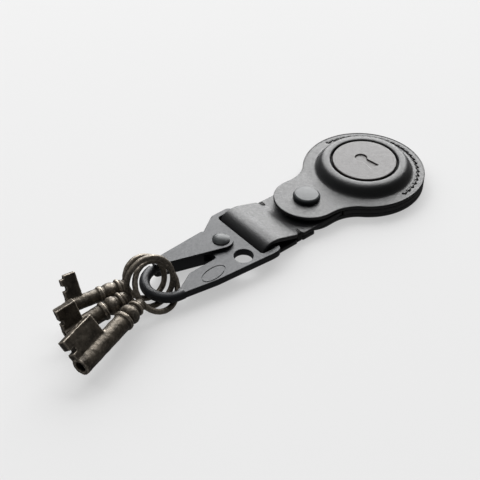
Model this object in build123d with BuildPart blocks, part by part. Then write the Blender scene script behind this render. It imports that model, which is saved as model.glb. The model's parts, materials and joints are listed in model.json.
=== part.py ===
"""Key organiser: a leather tracker fob, a strap loop, a gated snap hook and three old keys.

Units are millimetres. The origin is the centre of the fob's round back face, on the
surface that it lies on: +X runs from the keys towards the fob's round end, +Z is up.
"""
from build123d import *
from math import cos, sin, radians, sqrt
import os

os.makedirs("parts", exist_ok=True)

# ---------------------------------------------------------------- driving dimensions
# fob outline: a disc with a neck that ends in a round tab
disc_r = 23.0
neck_half = 12.0
neck_fillet = 14.0
snap_x = -29.3
post_hole_r = 1.6

# fob layers, from the surface up
back_t = 1.8
spacer_t = 1.9
front_t = 1.5
spacer_z = back_t
front_z = spacer_z + spacer_t
front_top = front_z + front_t

# moulded dome, its window and the insert that shows through it
dome_top = 9.1
dome_wall = 1.4
dome_base_r = 17.7
dome_shoulder_r = 16.4
dome_skirt_r = 19.4
window_r = 12.8
insert_r = 12.1
insert_t = 1.2
pocket_r = 16.0

# tracker held in the pocket
tracker_r = 15.6
tracker_gap = 0.05
battery_cap_r = 14.4
cell_r = 10.0
cell_t = 3.2
board_t = 0.6

# front tab: it turns up about its hinge line, and stands a little proud at rest
hinge_x = -19.5
tab_tilt = 3.7

# stitching round the far half of the disc
stitch_r = 20.4
stitch_pitch = 2.75
stitch_w = 0.75
stitch_len = 1.4
stitch_groove_w = 1.5
groove_depth = 0.35

# strap: one piece folded round the hook's bar
strap_t = 1.7
strap_w = 23.2
ply_gap = 0.1
strap_top_end = -22.6
strap_low_end = -36.2
fold_x = -60.95
hump_x = -53.3
hump_in = 6.2
wrap_x = -42.8
wrap_in = 1.9
thread_t = 0.6

# snap hook
clip_y = -0.5
plate_t = 2.8
plate_z = 2.8
plate_top = plate_z + plate_t
plate_mid = plate_z + plate_t / 2
bar_x = -55.6
bar_w = 3.4
bar_t = 2.4
bar_z = 4.0
slot_front = -61.2
plate_rear = -53.8
slot_half = 12.3
plate_half = 14.6
rod_r = 1.8
lanyard_x, lanyard_y = -66.9, -9.0
lanyard_r = 3.3
rivet_x, rivet_y = -68.5, 1.2
rivet_r = 1.5
sheet_t = 1.2
sheet_gap = 0.2
lever_end_r = 4.3
lever_low = plate_z - sheet_gap - sheet_t
lever_top = plate_top + sheet_gap + sheet_t
head_r = 3.1
head_h = 1.3
running = 0.05
spring_wire = 0.3
spring_r = 2.3
spring_leg = 9.0
spring_pocket_r = 3.5
spring_pocket_depth = 1.6
oval_x, oval_y = -80.3, -9.4
oval_half, oval_short = 5.0, 2.4
oval_turn = 8
groove_w = 0.4
oval_depth = 0.25

# keys: ring-shaped bow, then the shank, all cast in one piece
bow_r = 8.5
small_bow_r = 7.0
bow_wire = 1.0
bore_depth = 11


# ---------------------------------------------------------------- shared outlines
with BuildSketch(Plane.XY) as fob_face:
    Circle(disc_r)
    with Locations((snap_x / 2, 0)):
        Rectangle(-snap_x, 2 * neck_half)
    with Locations((snap_x, 0)):
        Circle(neck_half)
    waist = [v for v in fob_face.vertices() if abs(v.X + sqrt(disc_r**2 - neck_half**2)) < 0.1]
    fillet(waist, neck_fillet)


def tilted(x, z, degrees):
    """The XY plane turned about the line (x, z), so that its -X side rises."""
    c, s = cos(radians(degrees)), sin(radians(degrees))
    return Plane(origin=(x - x * c, 0, z + x * s), x_dir=(c, 0, -s), z_dir=(s, 0, c))


def dome_mid(r, low, high):
    """A point halfway along the arc of a dome of radius r that rises from low to high."""
    centre = (high**2 - r**2 - low**2) / (2 * (high - low))
    return (r / 2, centre + sqrt((high - centre) ** 2 - r**2 / 4))


def write(part, name):
    part.label = name
    export_step(part, "parts/" + name + ".step")


# ---------------------------------------------------------------- leather fob
neck_end = -35.6

with BuildPart() as back_cover:
    with BuildSketch(Plane.XY):
        add(fob_face.sketch)
        with Locations((neck_end - 10, 0)):
            Rectangle(20, 3 * neck_half, mode=Mode.SUBTRACT)
    extrude(amount=back_t)
    with Locations((snap_x, 0, back_t)):
        Hole(post_hole_r, back_t)
write(back_cover.part, "back_cover")

with BuildPart() as spacer:
    with BuildSketch(Plane.XY.offset(spacer_z)):
        add(fob_face.sketch)
        Circle(pocket_r, mode=Mode.SUBTRACT)
        with Locations((strap_top_end + 0.4 - 20, 0)):
            Rectangle(40, 3 * neck_half, mode=Mode.SUBTRACT)
    extrude(amount=spacer_t)
write(spacer.part, "spacer")

with BuildPart() as front_cover:
    with BuildSketch(Plane.XY.offset(front_z)):
        add(fob_face.sketch)
        Circle(pocket_r, mode=Mode.SUBTRACT)
        with Locations((hinge_x - 20, 0)):
            Rectangle(40, 3 * neck_half, mode=Mode.SUBTRACT)
    extrude(amount=front_t)
    with BuildSketch(Plane.XZ) as dome_section:
        with BuildLine():
            Polyline(
                (window_r, dome_top),
                (dome_shoulder_r, dome_top),
                (dome_base_r, front_top + 0.7),
                (dome_skirt_r, front_top),
                (dome_skirt_r, front_z),
                (pocket_r, front_z),
                (pocket_r, dome_top - dome_wall),
                (window_r, dome_top - dome_wall),
                close=True,
            )
        make_face()
        shoulder = dome_section.vertices().sort_by_distance((dome_shoulder_r, dome_top))[0]
        foot = dome_section.vertices().sort_by_distance((dome_base_r, front_top + 0.7))[0]
        inner = dome_section.vertices().sort_by_distance((pocket_r, dome_top - dome_wall))[0]
        fillet(shoulder, 2.2)
        fillet(foot, 0.7)
        fillet(inner, 1.2)
    revolve(axis=Axis.Z)
    with BuildSketch(Plane.XY.offset(front_top)):
        Circle(stitch_r + stitch_groove_w / 2)
        Circle(stitch_r - stitch_groove_w / 2, mode=Mode.SUBTRACT)
        with Locations((-30, 0)):
            Rectangle(60, 60, mode=Mode.SUBTRACT)
    extrude(amount=-groove_depth, mode=Mode.SUBTRACT)
write(front_cover.part, "front_cover")

tab_plane = tilted(hinge_x, front_top, tab_tilt)
with BuildPart() as front_tab:
    with BuildSketch(tab_plane):
        add(fob_face.sketch)
        with Locations((hinge_x + 30, 0)):
            Rectangle(60, 4 * neck_half, mode=Mode.SUBTRACT)
        with Locations((snap_x, 0)):
            Circle(2.3, mode=Mode.SUBTRACT)
    extrude(amount=-front_t)
write(front_tab.part, "front_tab")

# thread: slanted stitches in a row round the far half of the disc, one solid each
arc_len = stitch_r * radians(180)
stitch_count = int(arc_len / stitch_pitch)
with BuildPart() as edge_stitching:
    for i in range(stitch_count + 1):
        at = -88 + 176 * i / stitch_count
        spot = Plane(
            origin=(stitch_r * cos(radians(at)), stitch_r * sin(radians(at)), front_top - groove_depth),
            x_dir=(-sin(radians(at + 24)), cos(radians(at + 24)), 0),
            z_dir=(0, 0, 1),
        )
        with BuildSketch(spot):
            SlotOverall(stitch_len, stitch_w)
        extrude(amount=groove_depth + 0.2)
write(edge_stitching.part, "edge_stitching")

# ---------------------------------------------------------------- tracker and its insert
shell_top = dome_top - insert_t
shell_low = back_t + tracker_gap
cap_t = 0.5

with BuildPart() as window_disc:
    with BuildSketch(Plane.XY.offset(shell_top)):
        Circle(insert_r)
    extrude(amount=insert_t)
    with BuildSketch(Plane.XY.offset(dome_top)) as keyhole:
        with Locations((0, 1.5)):
            Circle(1.9)
        with Locations((0, -2.2)):
            Rectangle(1.9, 6.0)
    extrude(amount=-0.3, mode=Mode.SUBTRACT)
write(window_disc.part, "window_disc")

with BuildPart() as tracker_shell:
    with BuildSketch(Plane.XZ) as shell_section:
        with BuildLine():
            Polyline(
                (0, shell_top),
                (insert_r, shell_top),
                (insert_r, dome_top - dome_wall - 0.15),
                (tracker_r, dome_top - dome_wall - 0.15),
                (tracker_r, shell_low),
                (battery_cap_r + 0.05, shell_low),
                (battery_cap_r + 0.05, shell_top - 1.4),
                (0, shell_top - 1.4),
                close=True,
            )
        make_face()
        rim = shell_section.vertices().sort_by_distance((tracker_r, dome_top - dome_wall))[0]
        fillet(rim, 1.2)
    revolve(axis=Axis.Z)
write(tracker_shell.part, "tracker_shell")

with BuildPart() as tracker_battery_cap:
    with BuildSketch(Plane.XY.offset(shell_low)):
        Circle(battery_cap_r)
    extrude(amount=cap_t)
write(tracker_battery_cap.part, "tracker_battery_cap")

cell_z = shell_low + cap_t
with BuildPart() as coin_cell:
    with BuildSketch(Plane.XY.offset(cell_z)):
        Circle(cell_r)
    extrude(amount=cell_t - 0.4)
    with BuildSketch(Plane.XY.offset(cell_z + cell_t - 0.4)):
        Circle(cell_r - 1.2)
    extrude(amount=0.4)
    chamfer(coin_cell.faces().sort_by(Axis.Z)[0].edges(), 0.2)
write(coin_cell.part, "coin_cell")

board_z = cell_z + cell_t
with BuildPart() as tracker_board:
    with BuildSketch(Plane.XY.offset(board_z)):
        Circle(battery_cap_r - 0.4)
        Circle(3.0, mode=Mode.SUBTRACT)
    extrude(amount=board_t)
write(tracker_board.part, "tracker_board")

with BuildPart() as tracker_coil:
    with BuildSketch(Plane.XY.offset(board_z)):
        Circle(2.8)
        Circle(1.4, mode=Mode.SUBTRACT)
    extrude(amount=shell_top - 1.4 - board_z)
write(tracker_coil.part, "tracker_coil")

with BuildPart() as battery_contacts:
    for i in range(3):
        at = radians(120 * i + 30)
        spot = Plane(
            origin=((cell_r + 2.2) * cos(at), (cell_r + 2.2) * sin(at), cell_z),
            x_dir=(-sin(at), cos(at), 0),
            z_dir=(0, 0, 1),
        )
        with BuildSketch(spot):
            RectangleRounded(3.6, 0.8, 0.3)
        extrude(amount=cell_t)
write(battery_contacts.part, "battery_contacts")

# ---------------------------------------------------------------- strap
low_mid = strap_t / 2
top_mid = strap_t + ply_gap + strap_t / 2
hump_mid = hump_in + strap_t / 2
fold_mid = fold_x + strap_t / 2

# three turns of thread at each edge, sewn through both plies and drawn into the leather
stack_t = 2 * strap_t + ply_gap
with BuildPart() as strap_wraps:
    for side in (-1, 1):
        middle_y = clip_y + side * (strap_w / 2 - wrap_in / 2)
        for i in range(3):
            turn_x = wrap_x + (i - 1) * (thread_t + 0.1)
            with BuildSketch(Plane.YZ.offset(turn_x - thread_t / 2)):
                with Locations((middle_y, stack_t / 2)):
                    Rectangle(wrap_in, stack_t)
                    Rectangle(wrap_in - 2 * thread_t, stack_t - 2 * thread_t, mode=Mode.SUBTRACT)
            extrude(amount=thread_t)
write(strap_wraps.part, "strap_wraps")

with BuildPart() as strap_loop:
    with BuildSketch(Plane.XZ.offset(-clip_y - strap_w / 2)) as strap_section:
        with BuildLine() as strap_path:
            FilletPolyline(
                (strap_top_end, top_mid),
                (wrap_x - 1.6, top_mid),
                (hump_x, hump_mid),
                (fold_mid, hump_mid),
                (fold_mid, low_mid),
                (strap_low_end, low_mid),
                radius=1.75,
            )
        trace(strap_path.line, line_width=strap_t)
    extrude(amount=strap_w)
    add(strap_wraps.part, mode=Mode.SUBTRACT)
    with Locations((snap_x, 0, top_mid + strap_t)):
        Hole(post_hole_r, 2 * strap_t)
write(strap_loop.part, "strap_loop")

# ---------------------------------------------------------------- press stud
strap_top = top_mid + strap_t / 2

with BuildPart() as snap_cap:
    with BuildSketch(Plane.XZ) as cap_section:
        with BuildLine():
            Polyline((0, 0.05), (5.0, 0.05), (5.0, 1.5), (4.2, 1.95))
            ThreePointArc((4.2, 1.95), dome_mid(4.2, 1.95, 2.15), (0, 2.15))
            Line((0, 2.15), (0, 0.05))
        make_face()
        shoulder = cap_section.vertices().sort_by_distance((5.0, 1.5))[0]
        fillet(shoulder, 0.8)
    revolve(axis=Axis.Z)
snap_plane = Plane(
    origin=tab_plane.from_local_coords(Vector(snap_x, 0, 0)),
    x_dir=tab_plane.x_dir,
    z_dir=tab_plane.z_dir,
)
write(snap_cap.part.moved(snap_plane.location), "snap_cap")

with BuildPart() as snap_socket:
    with BuildSketch(Plane.XZ) as socket_section:
        with BuildLine():
            Polyline(
                (1.95, -front_t - 0.35),
                (3.6, -front_t - 0.35),
                (3.6, -front_t - 0.02),
                (2.25, -front_t - 0.02),
                (2.25, 0.0),
                (1.95, 0.0),
                close=True,
            )
        make_face()
    revolve(axis=Axis.Z)
write(snap_socket.part.moved(snap_plane.location), "snap_socket")

with BuildPart() as snap_stud:
    with BuildSketch(Plane.XZ) as stud_section:
        with BuildLine():
            Polyline((0, strap_top), (3.0, strap_top), (3.0, strap_top + 0.15),
                     (1.5, strap_top + 0.15), (1.5, strap_top + 0.5))
            ThreePointArc(
                (1.5, strap_top + 0.5), dome_mid(1.5, strap_top + 0.5, strap_top + 1.0), (0, strap_top + 1.0)
            )
            Line((0, strap_top + 1.0), (0, strap_top))
        make_face()
    revolve(axis=Axis.Z)
stud_shift = Location((snap_x, 0, 0))
write(snap_stud.part.moved(stud_shift), "snap_stud")

with BuildPart() as snap_post:
    with BuildSketch(Plane.XY):
        with Locations((snap_x, 0)):
            Circle(1.55)
    extrude(amount=strap_top)
write(snap_post.part, "snap_post")

# ---------------------------------------------------------------- snap hook
with BuildPart() as hook_plate:
    with BuildSketch(Plane.XY.offset(plate_z)) as plate_face:
        with BuildLine():
            Polyline(
                (plate_rear, clip_y + plate_half),
                (-62.2, clip_y + plate_half),
                (-71.4, clip_y + 8.6),
                (-74.4, clip_y + 5.0),
                (-74.8, clip_y - 3.8),
                (-86.3, clip_y - 4.0),
                (-92.4, clip_y - 7.4),
                (-95.6, clip_y - 8.2),
                (-95.6, clip_y - 10.2),
                (-80.9, clip_y - 12.8),
                (-58.0, clip_y - plate_half - 0.2),
                (plate_rear, clip_y - plate_half),
                close=True,
            )
        make_face()

        def corner(x, y):
            return plate_face.vertices().sort_by_distance((x, clip_y + y))[0]

        fillet([corner(-53.8, plate_half), corner(-53.8, -plate_half)], 2.6)
        fillet(corner(-62.2, plate_half), 2.5)
        fillet([corner(-86.3, -4.0), corner(-92.4, -7.4)], 3.0)
        fillet(corner(-74.8, -3.8), 0.9)
        with Locations((slot_front - 0.01, clip_y)):
            RectangleRounded(20, 2 * slot_half, 1.2, align=(Align.MIN, Align.CENTER), mode=Mode.SUBTRACT)
        with Locations((lanyard_x, clip_y + lanyard_y)):
            Circle(lanyard_r, mode=Mode.SUBTRACT)
        with Locations((rivet_x, clip_y + rivet_y)):
            Circle(rivet_r, mode=Mode.SUBTRACT)
    extrude(amount=plate_t)
    fillet(hook_plate.edges().group_by(Axis.Z)[-1] + hook_plate.edges().group_by(Axis.Z)[0], 0.35)
    # the bar that the strap is folded round: thinner than the plate, with round edges
    with BuildSketch(Plane.XZ.offset(-clip_y - plate_half + 1.2)):
        with Locations((bar_x, bar_z)):
            RectangleRounded(bar_w, bar_t, bar_t / 2 - 0.05)
    extrude(amount=2 * plate_half - 2.4)
    # pocket for the gate's spring, open towards the gate
    with BuildSketch(Plane.XY.offset(plate_top)):
        with Locations((rivet_x, clip_y + rivet_y)):
            Circle(spring_pocket_r)
            Circle(rivet_r, mode=Mode.SUBTRACT)
        with Locations((rivet_x - spring_leg / 2, clip_y + rivet_y + spring_r)):
            Rectangle(spring_leg, 4 * spring_wire)
    extrude(amount=-spring_pocket_depth, mode=Mode.SUBTRACT)
    # a plain oval groove in the arm
    with BuildSketch(Plane.XY.offset(plate_top)):
        with Locations(Location((oval_x, clip_y + oval_y, 0), (0, 0, oval_turn))):
            Ellipse(oval_half + groove_w / 2, oval_short + groove_w / 2)
            Ellipse(oval_half - groove_w / 2, oval_short - groove_w / 2, mode=Mode.SUBTRACT)
    extrude(amount=-oval_depth, mode=Mode.SUBTRACT)
    # the eye: a round rod that bends back to the gate's nose
    with BuildLine() as eye_path:
        Line((-93.0, clip_y - 9.5, plate_mid), (-95.0, clip_y - 9.25, plate_mid))
        ThreePointArc(
            (-95.0, clip_y - 9.25, plate_mid),
            (-101.35, clip_y - 2.2, plate_mid),
            (-94.6, clip_y + 6.2, plate_mid),
        )
    with BuildSketch(Plane(origin=(-93.0, clip_y - 9.5, plate_mid), z_dir=(-1, 0.12, 0))):
        Circle(rod_r)
    sweep(path=eye_path.line, transition=Transition.ROUND)
    with BuildSketch(Plane.YZ.offset(-94.7)):
        with Locations((clip_y + 6.2, plate_mid)):
            Circle(1.35)
    extrude(amount=3.6)
write(hook_plate.part, "hook_plate")

lever_nose = [(-92.6, 6.6), (-92.6, 5.8)]
with BuildPart() as gate_lever:
    with BuildSketch(Plane.XY.offset(lever_low)) as lever_face:
        with Locations((rivet_x, clip_y + rivet_y)):
            Circle(lever_end_r)
        with Locations((-71.7, clip_y + 7.9)):
            Circle(0.9)
        with Locations([(x, clip_y + y) for x, y in lever_nose]):
            Circle(1.2)
        make_hull()
        with Locations((rivet_x, clip_y + rivet_y)):
            Circle(rivet_r + running, mode=Mode.SUBTRACT)
    extrude(amount=lever_top - lever_low)
    # the hollow of the channel: open outwards, closed by the spine on the throat side
    with BuildSketch(Plane.XY.offset(plate_z - sheet_gap)):
        with BuildLine():
            Polyline(
                (-99, clip_y + 2.0),
                (-89.2, clip_y + 2.0),
                (-89.2, clip_y + 4.75),
                (-77.8, clip_y + 1.45),
                (-77.8, clip_y - 6.0),
                (-60, clip_y - 6.0),
                (-60, clip_y + 12),
                (-99, clip_y + 12),
                close=True,
            )
        make_face()
    extrude(amount=plate_t + 2 * sheet_gap, mode=Mode.SUBTRACT)
write(gate_lever.part, "gate_lever")

with BuildPart() as gate_rivet:
    with BuildSketch(Plane.XZ) as rivet_section:
        with BuildLine():
            Polyline(
                (0, lever_low - 0.9),
                (head_r, lever_low - 0.9),
                (head_r, lever_low - 0.05),
                (rivet_r - 0.01, lever_low - 0.05),
                (rivet_r - 0.01, lever_top + 0.05),
                (head_r, lever_top + 0.05),
                (head_r, lever_top + 0.35),
            )
            ThreePointArc(
                (head_r, lever_top + 0.35),
                dome_mid(head_r, lever_top + 0.35, lever_top + head_h),
                (0, lever_top + head_h),
            )
            Line((0, lever_top + head_h), (0, lever_low - 0.9))
        make_face()
    revolve(axis=Axis.Z)
write(gate_rivet.part.moved(Location((rivet_x, clip_y + rivet_y, 0))), "gate_rivet")

with BuildPart() as gate_spring:
    for i in range(2):
        with BuildSketch(Plane.XZ):
            with Locations((spring_r, plate_top - 1.2 + 2 * spring_wire * i)):
                Circle(spring_wire + 0.005)
        revolve(axis=Axis.Z)
    with BuildSketch(Plane.YZ.offset(0)):
        with Locations((spring_r, plate_top - 1.2)):
            Circle(spring_wire)
    extrude(amount=-spring_leg)
write(gate_spring.part.moved(Location((rivet_x, clip_y + rivet_y, 0))), "gate_spring")


# ---------------------------------------------------------------- keys
def key(plane, ring_r, barrel_r, length, side, bit_len, bit_reach, bit_t, cuts, bore_r):
    """An old key: its bow is a ring about the plane's origin, its shank runs along local X.

    side is +1 or -1, the side of the shank that the bit stands on; cuts are the ward cuts,
    each a centre (from the tip, from the shank's axis) and a size (along, across).
    """
    shank = Axis(plane.origin, plane.x_dir)
    with BuildPart() as body:
        with BuildSketch(Plane(origin=plane.origin, x_dir=plane.x_dir, z_dir=-plane.y_dir)):
            with Locations((ring_r, 0)):
                Circle(bow_wire)
        revolve(axis=Axis(plane.origin, plane.z_dir))
        with BuildSketch(plane):
            with BuildLine():
                Polyline(
                    (ring_r, 0), (ring_r, 1.3), (ring_r + 1.7, 2.3), (ring_r + 2.5, 2.3), (ring_r + 2.7, 2.9),
                    (ring_r + 3.5, 2.9), (ring_r + 3.8, 2.2), (ring_r + 4.4, 2.2)
                )
                ThreePointArc((ring_r + 4.4, 2.2), (ring_r + 6.3, barrel_r + 0.4), (ring_r + 8.2, 2.3))
                Polyline(
                    (ring_r + 8.2, 2.3), (ring_r + 8.7, 2.3), (ring_r + 8.9, barrel_r + 0.45),
                    (ring_r + 10.1, barrel_r + 0.45), (ring_r + 10.4, barrel_r), (length, barrel_r),
                    (length, 0), (ring_r, 0)
                )
            make_face()
        revolve(axis=shank)
        with BuildSketch(plane.offset(-bit_t / 2)):
            with Locations((length - bit_len / 2, side * bit_reach / 2)):
                Rectangle(bit_len, bit_reach)
            for along, across, size_x, size_y in cuts:
                with Locations((length - along, side * across)):
                    Rectangle(size_x, size_y, mode=Mode.SUBTRACT)
        extrude(amount=bit_t)
        tip = Plane(origin=plane.from_local_coords(Vector(length, 0, 0)), z_dir=-plane.x_dir)
        with BuildSketch(tip):
            Circle(bore_r)
        extrude(amount=bore_depth, mode=Mode.SUBTRACT)
    return body.part


def key_plane(centre, towards, normal):
    """A plane through the bow's centre, with X along the shank, square to the normal."""
    across = Vector(*normal).normalized()
    along = Vector(*towards) - across * Vector(*towards).dot(across)
    return Plane(origin=centre, x_dir=along.normalized(), z_dir=across)


key_front_plane = key_plane((-99.72, -4.35, 7.45), (-0.945, -0.325, -0.026), (0.229, -0.718, 0.657))
key_middle_plane = key_plane((-101.2, -2.9, 9.05), (-0.99, 0.038, -0.137), (-0.084, -0.936, 0.342))
key_back_plane = key_plane((-99.8, 2.16, 6.76), (-0.9921, 0.1187, 0.0402), (-0.0741, -0.8144, 0.5755))

key_front = key(key_front_plane, bow_r, 3.1, 40.5, -1, 13.5, 9.9, 3.3, [(1.0, 5.6, 2.0, 1.4)], 1.9)
write(key_front, "key_front")
key_middle = key(key_middle_plane, bow_r, 2.8, 32.6, -1, 7.2, 9.5, 2.8, [(0, 4.8, 2.0, 1.4)], 1.6)
write(key_middle, "key_middle")
key_back = key(
    key_back_plane, small_bow_r, 2.35, 28.0, -1, 5.6, 10.2, 2.2, [(0, 6.0, 2.4, 1.6), (0, 9.8, 2.8, 1.4)], 1.3
)
write(key_back, "key_back")
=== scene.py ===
"""Looks of the key organiser: leather fob and strap, snap hook, three old keys.

Lengths are in millimetres until they become vertices, which are in metres, in the part's frame.
"""

import json
from math import acos, atan2, cos, hypot, pi, radians, sin, sqrt, tan

import bmesh
import bpy
from mathutils import Matrix, Vector


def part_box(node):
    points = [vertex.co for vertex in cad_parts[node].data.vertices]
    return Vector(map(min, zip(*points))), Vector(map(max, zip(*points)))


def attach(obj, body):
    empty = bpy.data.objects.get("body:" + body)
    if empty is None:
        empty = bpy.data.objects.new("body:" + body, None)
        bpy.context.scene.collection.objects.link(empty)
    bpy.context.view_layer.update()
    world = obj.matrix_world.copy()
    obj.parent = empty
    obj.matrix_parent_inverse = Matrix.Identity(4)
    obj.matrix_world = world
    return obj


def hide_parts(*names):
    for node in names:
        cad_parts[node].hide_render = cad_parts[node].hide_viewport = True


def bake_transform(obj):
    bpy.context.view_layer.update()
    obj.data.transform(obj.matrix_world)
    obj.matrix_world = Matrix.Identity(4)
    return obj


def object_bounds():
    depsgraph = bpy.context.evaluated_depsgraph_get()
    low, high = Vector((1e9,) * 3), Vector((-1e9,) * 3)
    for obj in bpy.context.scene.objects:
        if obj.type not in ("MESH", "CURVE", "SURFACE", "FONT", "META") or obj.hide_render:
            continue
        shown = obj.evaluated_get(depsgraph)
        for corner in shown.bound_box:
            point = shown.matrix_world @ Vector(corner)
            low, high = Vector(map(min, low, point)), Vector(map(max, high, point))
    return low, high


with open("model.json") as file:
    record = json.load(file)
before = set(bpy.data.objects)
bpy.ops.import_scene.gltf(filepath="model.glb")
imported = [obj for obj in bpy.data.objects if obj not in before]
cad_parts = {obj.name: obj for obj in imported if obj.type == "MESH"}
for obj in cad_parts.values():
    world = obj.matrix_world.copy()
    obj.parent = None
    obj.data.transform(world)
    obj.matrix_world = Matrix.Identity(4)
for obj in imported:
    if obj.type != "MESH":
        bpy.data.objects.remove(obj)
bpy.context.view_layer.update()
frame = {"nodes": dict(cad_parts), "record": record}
nodes = frame["nodes"]
MM = 0.001


def corners(node):
    """A node's lowest and highest corners, in millimetres."""
    low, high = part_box(node)
    return [v / MM for v in low], [v / MM for v in high]


# ---------------------------------------------------------------- sizes read from the frame
back_low, back_high = corners("back_cover")
spacer_low, spacer_high = corners("spacer")
cover_low, cover_high = corners("front_cover")
insert_low, insert_high = corners("window_disc")
strap_low, strap_high = corners("strap_loop")
wraps_low, wraps_high = corners("strap_wraps")

disc_r = back_high[0]
hinge_x = cover_low[0]
front_z = spacer_high[2]
dome_top = cover_high[2]
insert_r = insert_high[0]
clip_y = (strap_low[1] + strap_high[1]) / 2
wrap_x = (wraps_low[0] + wraps_high[0]) / 2

# ---------------------------------------------------------------- sizes that the frame doesn't give
# fob
neck_half = 12.0
neck_fillet = 14.0
snap_x = -29.3
front_t = 1.5
front_top = front_z + front_t
tab_slope = tan(radians(3.7))
edge_r = 0.38
pocket_r = 16.0
foot_r = 19.3
window_r = 12.8
dome_wall = 1.4
# stitching
stitch_r = 20.4
stitch_arc = 88
slit_count = 26
slit_slant = radians(48)
slit_step = radians(2 * stitch_arc) / (slit_count - 1)
slit_depth = 0.55
channel_depth = 0.1
stitch_thread_r = 0.31
stitch_rise = 0.42
# insert
press_depth = 0.5
# strap
hump_x = -54.0
strap_low_end = -36.2
strap_t = 1.7
ply_gap = 0.1
strap_edge_r = 0.42
strap_nip = 0.85
thread_r = 0.3
thread_pitch = 0.68
wrap_corner_r = 0.5


# ---------------------------------------------------------------- mesh helpers
def new_object(name, verts, faces, smooth=True):
    """A mesh object from vertices in millimetres."""
    mesh = bpy.data.meshes.new(name)
    mesh.from_pydata([(x * MM, y * MM, z * MM) for x, y, z in verts], [], faces)
    mesh.validate()
    bm = bmesh.new()
    bm.from_mesh(mesh)
    bmesh.ops.recalc_face_normals(bm, faces=bm.faces)
    bm.to_mesh(mesh)
    bm.free()
    for face in mesh.polygons:
        face.use_smooth = smooth
    made = bpy.data.objects.new(name, mesh)
    bpy.context.scene.collection.objects.link(made)
    return made


def loft(rings, closed=False, cap_ends=False):
    """Quads between rings of equally many points; closed joins the last ring to the first."""
    count = len(rings[0])
    verts = [p for ring in rings for p in ring]
    faces = []
    spans = len(rings) if closed else len(rings) - 1
    for k in range(spans):
        a, b = k * count, ((k + 1) % len(rings)) * count
        for i in range(count):
            j = (i + 1) % count
            faces.append((a + i, a + j, b + j, b + i))
    if cap_ends:
        faces.append(tuple(range(count)))
        faces.append(tuple(range(len(verts) - count, len(verts))))
    return verts, faces


def tube(path, radius, sides=10, closed=False, taper=None):
    """Vertices and faces of a round tube along a path of vectors."""
    rings = []
    last = len(path) - 1
    up = Vector((0, 0, 1))
    for i, p in enumerate(path):
        before = path[i - 1] if i or closed else p
        after = path[(i + 1) % len(path)] if i < last or closed else p
        along = (after - before).normalized()
        side = along.cross(up)
        if side.length < 0.05:
            side = along.cross(Vector((0, 1, 0)))
        side.normalize()
        other = side.cross(along)
        r = radius * (taper(i / last) if taper else 1)
        ring = []
        for k in range(sides):
            a = 2 * pi * k / sides
            ring.append(tuple(p + side * (r * cos(a)) + other * (r * sin(a))))
        rings.append(ring)
    return loft(rings, closed=closed, cap_ends=not closed)


def gather(parts):
    """Joins several (vertices, faces) pairs into one."""
    verts, faces = [], []
    for some_verts, some_faces in parts:
        shift = len(verts)
        verts.extend(some_verts)
        faces.extend(tuple(i + shift for i in face) for face in some_faces)
    return verts, faces


def arc(cx, cy, r, start, end, count):
    """Points on an arc, angles in degrees, without its last point."""
    points = []
    for i in range(count):
        a = radians(start + (end - start) * i / count)
        points.append((cx + r * cos(a), cy + r * sin(a)))
    return points


def smooth_step(low, high, x):
    """0 below low, 1 above high, and a smooth rise between them."""
    t = min(1.0, max(0.0, (x - low) / (high - low)))
    return t * t * (3 - 2 * t)


# ---------------------------------------------------------------- leather fob
def fob_outline(inset=0.0, left_end=None):
    """The fob's outline, moved inwards: the disc, then the concave waist, neck and round tab."""
    reach = disc_r + neck_fillet
    centre_x = -sqrt(reach**2 - (neck_half + neck_fillet) ** 2)
    centre_y = neck_half + neck_fillet
    waist = atan2(centre_y, centre_x) * 180 / pi
    toward = waist - 180
    disc = arc(0, 0, disc_r - inset, -waist, waist, 440)
    upper = arc(centre_x, centre_y, neck_fillet + inset, toward, -90, 24)
    neck = [(centre_x, neck_half - inset), ((centre_x + snap_x) / 2, neck_half - inset)]
    tab = arc(snap_x, 0, neck_half - inset, 90, 270, 90)
    lower = [(x, -y) for x, y in reversed(upper[1:] + neck)]
    points = disc + upper + neck + tab + [(snap_x, -neck_half + inset)] + lower
    if left_end is None:
        return points
    limit = left_end + inset
    return [(x, y) if x >= limit else (limit, y * limit / x) for x, y in points]


def between(outline, inner_r, t, z):
    """A ring part-way from a circle (t = 0) to an outline (t = 1).

    z is a number, or a function of x and y.
    """
    ring = []
    for x, y in outline:
        r = hypot(x, y)
        k = (inner_r + (r - inner_r) * t) / r
        px, py = x * k, y * k
        ring.append((px, py, z(px, py) if callable(z) else z))
    return ring


def edge_rings(inner_r, low, high, left_end=None, lift=None):
    """The rounded edge of a leather layer, from its underside to its top."""
    lift = lift or (lambda x, y: 0)
    rings = []
    steps = 4
    for base, sign in ((low + edge_r, -1), (high - edge_r, 1)):
        for i in range(steps + 1):
            a = pi / 2 * (i / steps if sign > 0 else 1 - i / steps)
            inset = edge_r * (1 - cos(a))
            z = base + sign * edge_r * sin(a)
            outline = fob_outline(inset, left_end)
            rings.append(between(outline, inner_r, 1, lambda x, y: z + lift(x, y)))
    return rings


def tab_lift(x, y):
    """How far the tab has risen at rest: a bend at the hinge line, then a straight slope."""
    run = hinge_x - x
    soft = 1.5
    if run < -soft:
        return 0.0
    if run > soft:
        return tab_slope * run
    return tab_slope * (run + soft) ** 2 / (4 * soft)


def flange_fall(x, y):
    """The flange round the dome drops a little towards the disc's rim."""
    fade = smooth_step(-26, -14, x)
    return fade * 0.16 * smooth_step(foot_r, disc_r, hypot(x, y))


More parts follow.
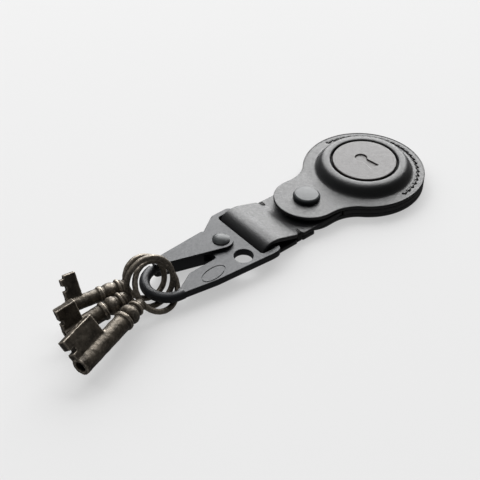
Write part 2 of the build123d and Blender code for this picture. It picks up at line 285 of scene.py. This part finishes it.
def pits(x, y):
    """Depth of the slits that the thread passes through, and of the faint channel along them."""
    angle = atan2(y, x)
    if abs(angle) > radians(stitch_arc + 3):
        return 0.0
    off = hypot(x, y) - stitch_r
    channel = channel_depth * (1 - smooth_step(0.5, 1.1, abs(off)))
    nearest = round((angle + radians(stitch_arc)) / slit_step)
    along = (angle + radians(stitch_arc) - nearest * slit_step) * stitch_r
    across = off * cos(slit_slant) - along * sin(slit_slant)
    length = along * cos(slit_slant) + off * sin(slit_slant)
    slit = (1 - smooth_step(0.12, 0.42, abs(across))) * (1 - smooth_step(0.45, 0.85, abs(length)))
    return channel + slit_depth * slit


def front_height(x, y):
    """The height of the front leather's upper side, outside the dome."""
    return front_top + tab_lift(x, y) - flange_fall(x, y) - pits(x, y)


def make_front():
    """Front cover and tab in one piece of leather: it is moulded into the dome and open at the window."""
    rings = []
    under = fob_outline(edge_r)
    for t in (0.0, 0.2, 0.4, 0.6, 0.8):
        rings.append(between(under, pocket_r, t, lambda x, y: front_z + tab_lift(x, y)))
    rings.extend(edge_rings(foot_r, front_z, front_top, lift=tab_lift))
    steps = 40
    for i in range(1, steps + 1):
        rings.append(between(under, foot_r, 1 - i / steps, front_height))
    dome = [
        (18.9, front_top + 0.05), (18.5, front_top + 0.2), (18.12, front_top + 0.48),
        (17.78, front_top + 0.88), (17.45, front_top + 1.4), (17.12, front_top + 2.0),
        (16.75, front_top + 2.6), (16.3, dome_top - 0.74), (15.8, dome_top - 0.38),
        (15.25, dome_top - 0.15), (14.7, dome_top - 0.04), (14.2, dome_top), (13.7, dome_top),
        (13.3, dome_top - 0.03), (13.0, dome_top - 0.15), (12.84, dome_top - 0.4),
        (window_r, dome_top - 0.8), (window_r, dome_top - dome_wall), (14.0, dome_top - dome_wall),
        (15.2, dome_top - 1.45), (pocket_r, dome_top - 2.4), (pocket_r, front_z + 1.0),
    ]
    for r, z in dome:
        rings.append(between(under, r, 0, z))
    return new_object("leather_front", *loft(rings, closed=True))


def make_layer(name, low, high, left_end, hole):
    """A flat leather layer with rounded edges, with or without the pocket's hole."""
    flat = fob_outline(edge_r, left_end)
    inner = hole or 0.5
    rings = [between(flat, inner, t, low) for t in (0.0, 0.35, 0.7, 0.95)]
    rings.extend(edge_rings(inner, low, high, left_end))
    rings.extend(between(flat, inner, t, high) for t in (0.95, 0.7, 0.35, 0.0))
    return new_object(name, *loft(rings, closed=True))


def keyhole(x, y):
    """Signed distance from a keyhole's edge, less than 0 inside it."""
    eye = hypot(x, y - 1.8) - 2.2
    flare = 0.85 + (1.3 - y) * 0.14
    stem = max(abs(x) - flare, abs(y + 2.1) - 3.4)
    return min(eye, stem)


def make_insert():
    """The round insert that shows through the window, with a debossed keyhole."""
    low, high = insert_low[2], insert_high[2]
    segments = 240
    rings = []
    spacing = 0.14
    count = int((insert_r - 0.4) / spacing)

    def ring(r, z):
        """One ring; with no z it lies on the face, pressed in at the keyhole."""
        points = []
        for i in range(segments):
            a = 2 * pi * i / segments
            x, y = r * cos(a), r * sin(a)
            if z is None:
                press = press_depth * (1 - smooth_step(-0.12, 0.16, keyhole(x, y)))
                points.append((x, y, high - press))
            else:
                points.append((x, y, z))
        return points

    rings.append(ring(0.02, low))
    rings.append(ring(insert_r - 0.3, low))
    rings.append(ring(insert_r, low + 0.3))
    rings.append(ring(insert_r, high - 0.4))
    rings.append(ring(insert_r - 0.12, high - 0.12))
    for i in range(count + 1):
        rings.append(ring(insert_r - 0.4 - i * spacing, None))
    return new_object("insert_disc", *loft(rings, cap_ends=True))


def make_stitches():
    """Slanted stitches, each an arched length of waxed thread from one slit to the next."""
    parts = []
    half = 0.5 * slit_step * stitch_r
    for i in range(slit_count - 1):
        at = -radians(stitch_arc) + (i + 0.5) * slit_step
        centre = Vector((stitch_r * cos(at), stitch_r * sin(at), 0))
        slant = at + pi / 2 + radians(14)
        along = Vector((cos(slant), sin(slant), 0))
        path = []
        for k in range(11):
            s = -1 + 2 * k / 10
            z = front_top - stitch_rise + stitch_rise * (1 - s**4)
            path.append(centre + along * (half * 0.93 * s) + Vector((0, 0, z)))
        parts.append(tube(path, stitch_thread_r, sides=8, taper=lambda t: 0.6 + 0.4 * sin(pi * t)))
    return new_object("stitches", *gather(parts))


# ---------------------------------------------------------------- strap
def rounded_path(points, radii, step):
    """A polyline in x and z with its corners rounded, sampled about every step."""
    path = [Vector(points[0])]
    for before, at, after, radius in zip(points, points[1:], points[2:], radii):
        a = (Vector(before) - Vector(at)).normalized()
        b = (Vector(after) - Vector(at)).normalized()
        half = acos(max(-1, min(1, a.dot(b)))) / 2
        back = radius / tan(half)
        centre = Vector(at) + (a + b).normalized() * (radius / sin(half))
        start, end = Vector(at) + a * back, Vector(at) + b * back
        s0, s1 = start - centre, end - centre
        sweep = acos(max(-1, min(1, s0.normalized().dot(s1.normalized()))))
        turn = 1 if s0.x * s1.y - s0.y * s1.x > 0 else -1
        count = max(4, int(sweep * radius / step))
        for i in range(count + 1):
            angle = turn * sweep * i / count
            c, s = cos(angle), sin(angle)
            path.append(centre + Vector((s0.x * c - s0.y * s, s0.x * s + s0.y * c)))
    path.append(Vector(points[-1]))
    fine = [path[0]]
    for p, q in zip(path, path[1:]):
        count = max(1, int((q - p).length / step))
        fine.extend(p + (q - p) * (i + 1) / count for i in range(count))
    return fine


def strap_section(half_w, half_t):
    """A flat section with round edges, as (across, through) pairs."""
    points = []
    r = strap_edge_r
    for sx, sz, start in ((1, 1, 0), (-1, 1, 90), (-1, -1, 180), (1, -1, 270)):
        cx, cz = sx * (half_w - r), sz * (half_t - r)
        end = radians(start + 90)
        points.extend(arc(cx, cz, r, start, start + 90, 6))
        points.append((cx + r * cos(end), cz + r * sin(end)))
    return points


def make_strap():
    """One strip of leather folded round the hook's bar, nipped in where the thread draws it together."""
    low_mid = strap_low[2] + strap_t / 2
    top_mid = low_mid + strap_t + ply_gap
    hump_mid = strap_high[2] - strap_t / 2
    fold_mid = strap_low[0] + strap_t / 2
    path = rounded_path(
        [(strap_high[0], top_mid), (wrap_x + 1.0, top_mid), (hump_x, hump_mid - 0.2),
         (fold_mid, hump_mid - 0.4), (fold_mid, low_mid), (strap_low_end, low_mid)],
        (14.0, 10.0, 3.8, 1.5),
        0.35,
    )
    half_w = (strap_high[1] - strap_low[1]) / 2
    rings = []
    for i, p in enumerate(path):
        before, after = path[max(0, i - 1)], path[min(len(path) - 1, i + 1)]
        along = (after - before).normalized()
        normal = Vector((along.y, -along.x))
        nip = strap_nip * (1 - smooth_step(0.9, 1.7, abs(p.x - wrap_x)))
        ring = []
        for across, through in strap_section(half_w - nip, strap_t / 2):
            ring.append((p.x + normal.x * through, clip_y + across, p.y + normal.y * through))
        rings.append(ring)
    return new_object("leather_strap", *loft(rings, cap_ends=True))


def make_wraps():
    """Three turns of thread round each edge of the folded strap."""
    parts = []
    inner = 1.7
    r = wrap_corner_r
    low, high = wraps_low[2] + 0.12, wraps_high[2] + 0.4
    for side in (-1, 1):
        edge = (strap_high[1] if side > 0 else strap_low[1]) - side * 0.62
        turn = []
        for cy, cz, start in ((edge - side * r, high - r, 0), (edge - side * inner, high - r, 90),
                              (edge - side * inner, low + r, 180), (edge - side * r, low + r, 270)):
            turn.extend((cy + side * y, cz + z) for y, z in arc(0, 0, r, start, start + 90, 5))
        for i in range(3):
            x = wrap_x + (i - 1) * thread_pitch
            path = [Vector((x + 0.12 * sin(2 * pi * k / len(turn)), y, z)) for k, (y, z) in enumerate(turn)]
            parts.append(tube(path, thread_r, sides=8, closed=True))
    return new_object("strap_threads", *gather(parts))


# ---------------------------------------------------------------- materials
def material(name, color, roughness, metallic=0.0, specular=0.5):
    """A material whose values are the same all over; the functions below vary them."""
    made = bpy.data.materials.new(name)
    made.use_nodes = True
    shader = made.node_tree.nodes["Principled BSDF"]
    shader.inputs["Base Color"].default_value = (*color, 1)
    shader.inputs["Roughness"].default_value = roughness
    shader.inputs["Metallic"].default_value = metallic
    shader.inputs["Specular IOR Level"].default_value = specular
    return made


def noise(made, scale, detail=4.0, rough=0.55):
    """A noise texture in the frame's coordinates; scale is in features a metre."""
    tree = made.node_tree
    coordinates = tree.nodes.new("ShaderNodeTexCoord")
    made_noise = tree.nodes.new("ShaderNodeTexNoise")
    made_noise.inputs["Scale"].default_value = scale
    made_noise.inputs["Detail"].default_value = detail
    made_noise.inputs["Roughness"].default_value = rough
    tree.links.new(coordinates.outputs["Object"], made_noise.inputs["Vector"])
    return made_noise


def bump(made, layers):
    """Chained bumps; each layer is (noise node, height in millimetres)."""
    tree = made.node_tree
    before = None
    for source, height in layers:
        node = tree.nodes.new("ShaderNodeBump")
        node.inputs["Strength"].default_value = 1.0
        node.inputs["Distance"].default_value = height * MM
        tree.links.new(source.outputs["Fac"], node.inputs["Height"])
        if before:
            tree.links.new(before.outputs["Normal"], node.inputs["Normal"])
        before = node
    tree.links.new(before.outputs["Normal"], tree.nodes["Principled BSDF"].inputs["Normal"])


def ramp(made, source, low, high):
    """A noise turned into a passage between two numbers or two colours."""
    tree = made.node_tree
    node = tree.nodes.new("ShaderNodeValToRGB")
    for element, position, value in zip(node.color_ramp.elements, (0.35, 0.65), (low, high)):
        element.position = position
        element.color = (*value, 1) if isinstance(value, tuple) else (value, value, value, 1)
    tree.links.new(source.outputs["Fac"], node.inputs["Fac"])
    return node


def vary(made, source, socket, low, high):
    """Drives one of the shader's sockets from a noise."""
    tree = made.node_tree
    node = ramp(made, source, low, high)
    tree.links.new(node.outputs["Color"], tree.nodes["Principled BSDF"].inputs[socket])


def leather(name, color, roughness):
    """Smooth leather with a fine grain over a soft pebble."""
    made = material(name, color, roughness, specular=0.46)
    grain = noise(made, 2200, 6, 0.7)
    pebble = noise(made, 800, 4)
    bump(made, [(grain, 0.07), (pebble, 0.06)])
    vary(made, noise(made, 900, 6, 0.7), "Roughness", roughness - 0.07, roughness + 0.1)
    return made


def satin_metal(name, color, roughness, metallic=0.3):
    """Metal under a thin black coating, faintly speckled."""
    made = material(name, color, roughness, metallic)
    bump(made, [(noise(made, 2600, 4, 0.6), 0.03), (noise(made, 900, 3), 0.02)])
    vary(made, noise(made, 1100, 6, 0.7), "Roughness", roughness - 0.06, roughness + 0.1)
    return made


def old_iron(name, dark, light, burnished_and_highlight, roughness):
    """Aged iron in patches from dark to light, lighter on what stands out: partly rubbed wear, partly a
    painted highlight.
    """
    made = material(name, light, roughness, 0.65)
    tree = made.node_tree
    patches = ramp(made, noise(made, 260, 6, 0.65), dark, light)
    # Painted highlight and rubbed wear: convex parts, picked out by Pointiness, get the lighter colour.
    shape = tree.nodes.new("ShaderNodeNewGeometry")
    rubbed_and_highlight = tree.nodes.new("ShaderNodeMapRange")
    rubbed_and_highlight.inputs["From Min"].default_value = 0.505
    rubbed_and_highlight.inputs["From Max"].default_value = 0.55
    tree.links.new(shape.outputs["Pointiness"], rubbed_and_highlight.inputs["Value"])
    blend = tree.nodes.new("ShaderNodeMixRGB")
    blend.inputs["Color2"].default_value = (*burnished_and_highlight, 1)
    tree.links.new(rubbed_and_highlight.outputs["Result"], blend.inputs["Fac"])
    tree.links.new(patches.outputs["Color"], blend.inputs["Color1"])
    tree.links.new(blend.outputs["Color"], tree.nodes["Principled BSDF"].inputs["Base Color"])
    vary(made, noise(made, 600, 5), "Roughness", roughness - 0.08, roughness + 0.12)
    bump(made, [(noise(made, 1500, 6, 0.6), 0.045), (noise(made, 420, 3), 0.035)])
    return made


def worn(name, color, roughness, metallic=0.0, specular=0.5, scale=1800, height=0.01):
    """A plain surface with fine unevenness in its gloss and its relief."""
    made = material(name, color, roughness, metallic, specular)
    bump(made, [(noise(made, scale, 4), height)])
    vary(made, noise(made, scale / 3, 4), "Roughness", roughness - 0.05, roughness + 0.08)
    return made


looks = {
    "leather": leather("black_leather", (0.010, 0.0102, 0.0108), 0.40),
    "insert_leather": leather("warm_black_leather", (0.016, 0.0125, 0.0115), 0.36),
    "thread": worn(
        "waxed_thread", (0.012, 0.012, 0.012), 0.5, specular=0.35, scale=5000, height=0.05
    ),
    "black_plastic": worn("black_plastic", (0.006, 0.006, 0.006), 0.6, specular=0.15),
    "polished_steel": worn("polished_steel", (0.72, 0.72, 0.73), 0.18, 1.0),
    "circuit_board": worn("circuit_board", (0.02, 0.12, 0.05), 0.5),
    "copper": worn("copper", (0.72, 0.42, 0.2), 0.3, 1.0),
    "black_metal": satin_metal("black_metal", (0.016, 0.018, 0.019), 0.34),
    "blackened_steel": satin_metal("blackened_steel", (0.012, 0.013, 0.015), 0.38),
    "spring_steel": worn("spring_steel", (0.4, 0.4, 0.41), 0.3, 1.0),
    "key_iron": old_iron(
        "key_iron", (0.03, 0.025, 0.019), (0.10, 0.085, 0.066), (0.34, 0.3, 0.25), 0.38
    ),
}


def dress(obj, slot_name):
    obj.data.materials.clear()
    obj.data.materials.append(looks[slot_name])


for subpart in frame["record"]["subparts"]:
    dress(nodes[subpart["node"]], subpart["material_slot"])


# ---------------------------------------------------------------- pieces
def place(obj, body, slot_name, *replaced):
    """Gives a piece its material and its body, and hides the CAD nodes that it stands for."""
    dress(obj, slot_name)
    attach(obj, body)
    if replaced:
        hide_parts(*replaced)
    return obj


front = make_front()
dress(front, "leather")
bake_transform(front)
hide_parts("front_cover", "front_tab")
back = make_layer("leather_back", back_low[2], back_high[2], back_low[0], None)
place(back, "fob", "leather", "back_cover")
spacer = make_layer("leather_spacer", spacer_low[2], spacer_high[2], spacer_low[0], pocket_r)
place(spacer, "fob", "leather", "spacer")
place(make_insert(), "fob", "insert_leather", "window_disc")
place(make_stitches(), "fob", "thread", "edge_stitching")
place(make_strap(), "fob", "leather", "strap_loop")
place(make_wraps(), "fob", "thread", "strap_wraps")


# ---------------------------------------------------------------- finish of the CAD pieces
def weld(obj):
    """Joins the faces of a CAD piece at their edges."""
    modifier = obj.modifiers.new("weld", "WELD")
    modifier.merge_threshold = 0.002 * MM


def soften(node, width):
    """Rounds the sharp edges of a CAD piece."""
    obj = nodes[node]
    weld(obj)
    bevel = obj.modifiers.new("bevel", "BEVEL")
    bevel.width = width * MM
    bevel.segments = 3
    bevel.limit_method = "ANGLE"
    bevel.angle_limit = radians(35)
    bevel.harden_normals = False


def wear(node, voxel, strength):
    """Rounds a cast piece's edges and gives its surface the unevenness of old iron."""
    obj = nodes[node]
    weld(obj)
    remesh = obj.modifiers.new("remesh", "REMESH")
    remesh.mode = "VOXEL"
    remesh.voxel_size = voxel * MM
    remesh.use_smooth_shade = True
    smooth = obj.modifiers.new("smooth", "SMOOTH")
    smooth.factor = 0.5
    smooth.iterations = 4
    texture = bpy.data.textures.new(node + "_pits", "CLOUDS")
    texture.noise_scale = 1.6 * MM
    texture.noise_depth = 2
    displace = obj.modifiers.new("displace", "DISPLACE")
    displace.texture = texture
    displace.strength = strength * MM
    displace.mid_level = 0.55


soften("gate_lever", 0.22)
for key in ("key_front", "key_middle", "key_back"):
    wear(key, 0.25, 0.2)


# ---------------------------------------------------------------- stage, light and camera
def make_floor():
    """A wide pale floor just under the lowest point."""
    size = 3000
    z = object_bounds()[0][2] / MM - 0.02
    verts = [(-size, -size, z), (size, -size, z), (size, size, z), (-size, size, z)]
    floor = new_object("floor", verts, [(0, 1, 2, 3)], smooth=False)
    made = material("floor", (0.20, 0.20, 0.20), 1.0, specular=0.0)
    shader = made.node_tree.nodes["Principled BSDF"]
    shader.inputs["Emission Color"].default_value = (1, 1, 1, 1)
    shader.inputs["Emission Strength"].default_value = floor_glow
    floor.data.materials.append(made)
    floor.visible_glossy = False


def area_light(name, direction, power, size, in_gloss=True):
    """A square softbox that faces the object from a direction."""
    target = Vector(light_target)
    light = bpy.data.lights.new(name, "AREA")
    light.shape = "SQUARE"
    light.size = size
    light.energy = power
    lamp = bpy.data.objects.new(name, light)
    bpy.context.scene.collection.objects.link(lamp)
    lamp.location = target + Vector(direction).normalized() * light_distance
    lamp.visible_glossy = in_gloss
    lamp.rotation_euler = (lamp.location - target).to_track_quat("Z", "Y").to_euler()


def make_camera():
    """The camera at the object's viewing angle, rolled a little."""
    camera_at = Vector((-233.99, -208.62, 242.27)) * MM
    target = Vector((-58.6, 2.42, 0.0)) * MM
    data = bpy.data.cameras.new("camera")
    data.lens = 77.2
    data.sensor_width = 36
    data.clip_start = 0.01
    camera = bpy.data.objects.new("camera", data)
    bpy.context.scene.collection.objects.link(camera)
    look = (camera_at - target).to_track_quat("Z", "Y").to_matrix().to_4x4()
    camera.matrix_world = Matrix.Translation(camera_at) @ look @ Matrix.Rotation(radians(0.28), 4, "Z")
    bpy.context.scene.camera = camera


floor_glow = 0.48
light_target = (-0.06, 0.0, 0.0)
light_distance = 2.4
make_floor()
area_light("back_softbox", (0.66, 0.60, 0.54), power=168, size=2.6)
area_light("side_softbox", (-0.2, 1.0, 0.85), power=58, size=1.95, in_gloss=False)
area_light("top_softbox", (-0.1, 0.15, 1.0), power=7, size=1.6)

world = bpy.data.worlds.new("studio")
bpy.context.scene.world = world
world.use_nodes = True
world.node_tree.nodes["Background"].inputs["Color"].default_value = (1, 1, 1, 1)
world.node_tree.nodes["Background"].inputs["Strength"].default_value = 0.10
bpy.context.scene.view_settings.view_transform = "Standard"
make_camera()
